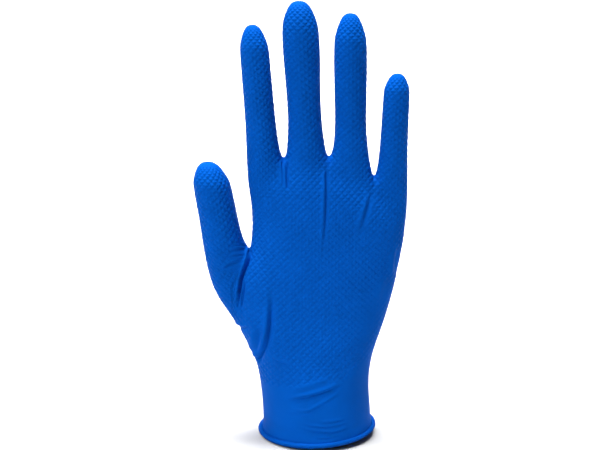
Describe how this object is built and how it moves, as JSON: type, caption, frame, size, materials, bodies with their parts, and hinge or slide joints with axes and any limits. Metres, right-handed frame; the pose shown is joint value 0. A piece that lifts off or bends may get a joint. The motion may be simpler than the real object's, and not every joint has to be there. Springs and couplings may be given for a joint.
{
  "type": "glove",
  "caption": "Thin five-finger nitrile work glove with a raised diamond texture, a smooth cuff and a rolled bead, filled out as worn; the wrist, fingers and thumb bend.",
  "frame": {"origin": "centre of the cuff opening, level with the underside of the rolled bead", "axes": "+Z from the cuff to the fingertips, +Y from the palm to the back of the hand, -X towards the thumb"},
  "size_m": [0.1134, 0.064, 0.2345],
  "materials": {
    "textured_film": "matt blue nitrile film with a raised diamond texture",
    "smooth_film": "smooth satin blue nitrile film",
    "bead": "smooth satin blue nitrile, rolled"
  },
  "bodies": {
    "cuff": {"cuff_sleeve": "smooth_film", "rolled_bead": "bead", "wrist_bend": "smooth_film"},
    "palm": {"palm_shell": "textured_film", "thumb_root_bend": "textured_film", "index_root_bend": "textured_film", "middle_root_bend": "textured_film", "ring_root_bend": "textured_film", "little_root_bend": "textured_film"},
    "thumb_lower_stall": {"thumb_lower_stall": "textured_film", "thumb_tip_bend": "textured_film"},
    "thumb_end": {"thumb_end": "textured_film"},
    "index_lower_stall": {"index_lower_stall": "textured_film", "index_middle_bend": "textured_film"},
    "index_upper_stall": {"index_upper_stall": "textured_film", "index_tip_bend": "textured_film"},
    "index_fingertip": {"index_fingertip": "textured_film"},
    "middle_lower_stall": {"middle_lower_stall": "textured_film", "middle_middle_bend": "textured_film"},
    "middle_upper_stall": {"middle_upper_stall": "textured_film", "middle_tip_bend": "textured_film"},
    "middle_fingertip": {"middle_fingertip": "textured_film"},
    "ring_lower_stall": {"ring_lower_stall": "textured_film", "ring_middle_bend": "textured_film"},
    "ring_upper_stall": {"ring_upper_stall": "textured_film", "ring_tip_bend": "textured_film"},
    "ring_fingertip": {"ring_fingertip": "textured_film"},
    "little_lower_stall": {"little_lower_stall": "textured_film", "little_middle_bend": "textured_film"},
    "little_upper_stall": {"little_upper_stall": "textured_film", "little_tip_bend": "textured_film"},
    "little_fingertip": {"little_fingertip": "textured_film"}
  },
  "joints": [
    {"name": "wrist_flex", "type": "hinge", "parent": "cuff", "child": "palm", "pos_m": [0, 0, 0.033], "axis": [1, 0, 0], "range_deg": [-25, 25], "stiffness_Nm_per_rad": 0.1, "deforming": ["wrist_bend"]},
    {"name": "thumb_root_flex", "type": "hinge", "parent": "palm", "child": "thumb_lower_stall", "pos_m": [-0.05135, 0.0015, 0.1115], "axis": [1, 0, 0], "range_deg": [-20, 50], "stiffness_Nm_per_rad": 0.006, "deforming": ["thumb_root_bend"]},
    {"name": "thumb_tip_flex", "type": "hinge", "parent": "thumb_lower_stall", "child": "thumb_end", "pos_m": [-0.05462, 0.0015, 0.13], "axis": [1, 0, 0], "range_deg": [0, 55], "stiffness_Nm_per_rad": 0.003, "deforming": ["thumb_tip_bend"]},
    {"name": "index_root_flex", "type": "hinge", "parent": "palm", "child": "index_lower_stall", "pos_m": [-0.02925, 0, 0.162], "axis": [1, 0, 0], "range_deg": [-20, 70], "stiffness_Nm_per_rad": 0.006, "deforming": ["index_root_bend"]},
    {"name": "index_middle_flex", "type": "hinge", "parent": "index_lower_stall", "child": "index_upper_stall", "pos_m": [-0.03119, 0, 0.187], "axis": [1, 0, 0], "range_deg": [0, 80], "stiffness_Nm_per_rad": 0.003, "deforming": ["index_middle_bend"]},
    {"name": "index_tip_flex", "type": "hinge", "parent": "index_upper_stall", "child": "index_fingertip", "pos_m": [-0.03264, 0, 0.2055], "axis": [1, 0, 0], "range_deg": [0, 50], "stiffness_Nm_per_rad": 0.003, "deforming": ["index_tip_bend"]},
    {"name": "middle_root_flex", "type": "hinge", "parent": "palm", "child": "middle_lower_stall", "pos_m": [-0.00634, 0, 0.163], "axis": [1, 0, 0], "range_deg": [-20, 70], "stiffness_Nm_per_rad": 0.006, "deforming": ["middle_root_bend"]},
    {"name": "middle_middle_flex", "type": "hinge", "parent": "middle_lower_stall", "child": "middle_upper_stall", "pos_m": [-0.00772, 0, 0.191], "axis": [1, 0, 0], "range_deg": [0, 80], "stiffness_Nm_per_rad": 0.003, "deforming": ["middle_middle_bend"]},
    {"name": "middle_tip_flex", "type": "hinge", "parent": "middle_upper_stall", "child": "middle_fingertip", "pos_m": [-0.0088, 0, 0.213], "axis": [1, 0, 0], "range_deg": [0, 50], "stiffness_Nm_per_rad": 0.003, "deforming": ["middle_tip_bend"]},
    {"name": "ring_root_flex", "type": "hinge", "parent": "palm", "child": "ring_lower_stall", "pos_m": [0.01723, 0, 0.163], "axis": [1, 0, 0], "range_deg": [-20, 70], "stiffness_Nm_per_rad": 0.006, "deforming": ["ring_root_bend"]},
    {"name": "ring_middle_flex", "type": "hinge", "parent": "ring_lower_stall", "child": "ring_upper_stall", "pos_m": [0.01698, 0, 0.189], "axis": [1, 0, 0], "range_deg": [0, 80], "stiffness_Nm_per_rad": 0.003, "deforming": ["ring_middle_bend"]},
    {"name": "ring_tip_flex", "type": "hinge", "parent": "ring_upper_stall", "child": "ring_fingertip", "pos_m": [0.01679, 0, 0.209], "axis": [1, 0, 0], "range_deg": [0, 50], "stiffness_Nm_per_rad": 0.003, "deforming": ["ring_tip_bend"]},
    {"name": "little_root_flex", "type": "hinge", "parent": "palm", "child": "little_lower_stall", "pos_m": [0.03963, 0, 0.151], "axis": [1, 0, 0], "range_deg": [-20, 70], "stiffness_Nm_per_rad": 0.006, "deforming": ["little_root_bend"]},
    {"name": "little_middle_flex", "type": "hinge", "parent": "little_lower_stall", "child": "little_upper_stall", "pos_m": [0.04034, 0, 0.1695], "axis": [1, 0, 0], "range_deg": [0, 75], "stiffness_Nm_per_rad": 0.003, "deforming": ["little_middle_bend"]},
    {"name": "little_tip_flex", "type": "hinge", "parent": "little_upper_stall", "child": "little_fingertip", "pos_m": [0.04089, 0, 0.184], "axis": [1, 0, 0], "range_deg": [0, 50], "stiffness_Nm_per_rad": 0.003, "deforming": ["little_tip_bend"]}
  ]
}
